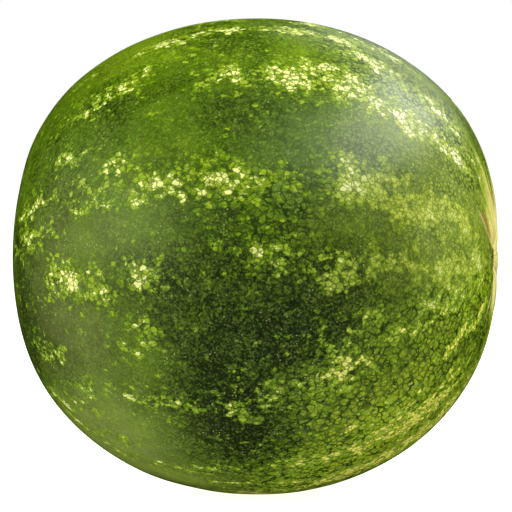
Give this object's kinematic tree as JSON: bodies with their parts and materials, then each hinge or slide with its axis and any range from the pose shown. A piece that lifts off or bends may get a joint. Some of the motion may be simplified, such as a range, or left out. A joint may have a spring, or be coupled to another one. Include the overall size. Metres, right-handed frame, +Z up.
{
  "type": "watermelon",
  "caption": "Whole uncut round watermelon lying on its side, mottled dark and light green striped rind with a netted skin, a stem scar at one end and a small flat resting spot.",
  "frame": {"origin": "bottom middle of the box round the fruit, on the ground under the belly", "axes": "+X along the fruit's long axis towards the stem end, +Y away from the side that shows in front, +Z up from the resting spot"},
  "size_m": [0.254, 0.2532, 0.2528],
  "materials": {
    "rind": "satin natural rind with a thin waxy bloom; mottled dark green with broken light green and cream stripes"
  },
  "bodies": {
    "root": {"watermelon": "rind"}
  },
  "joints": []
}
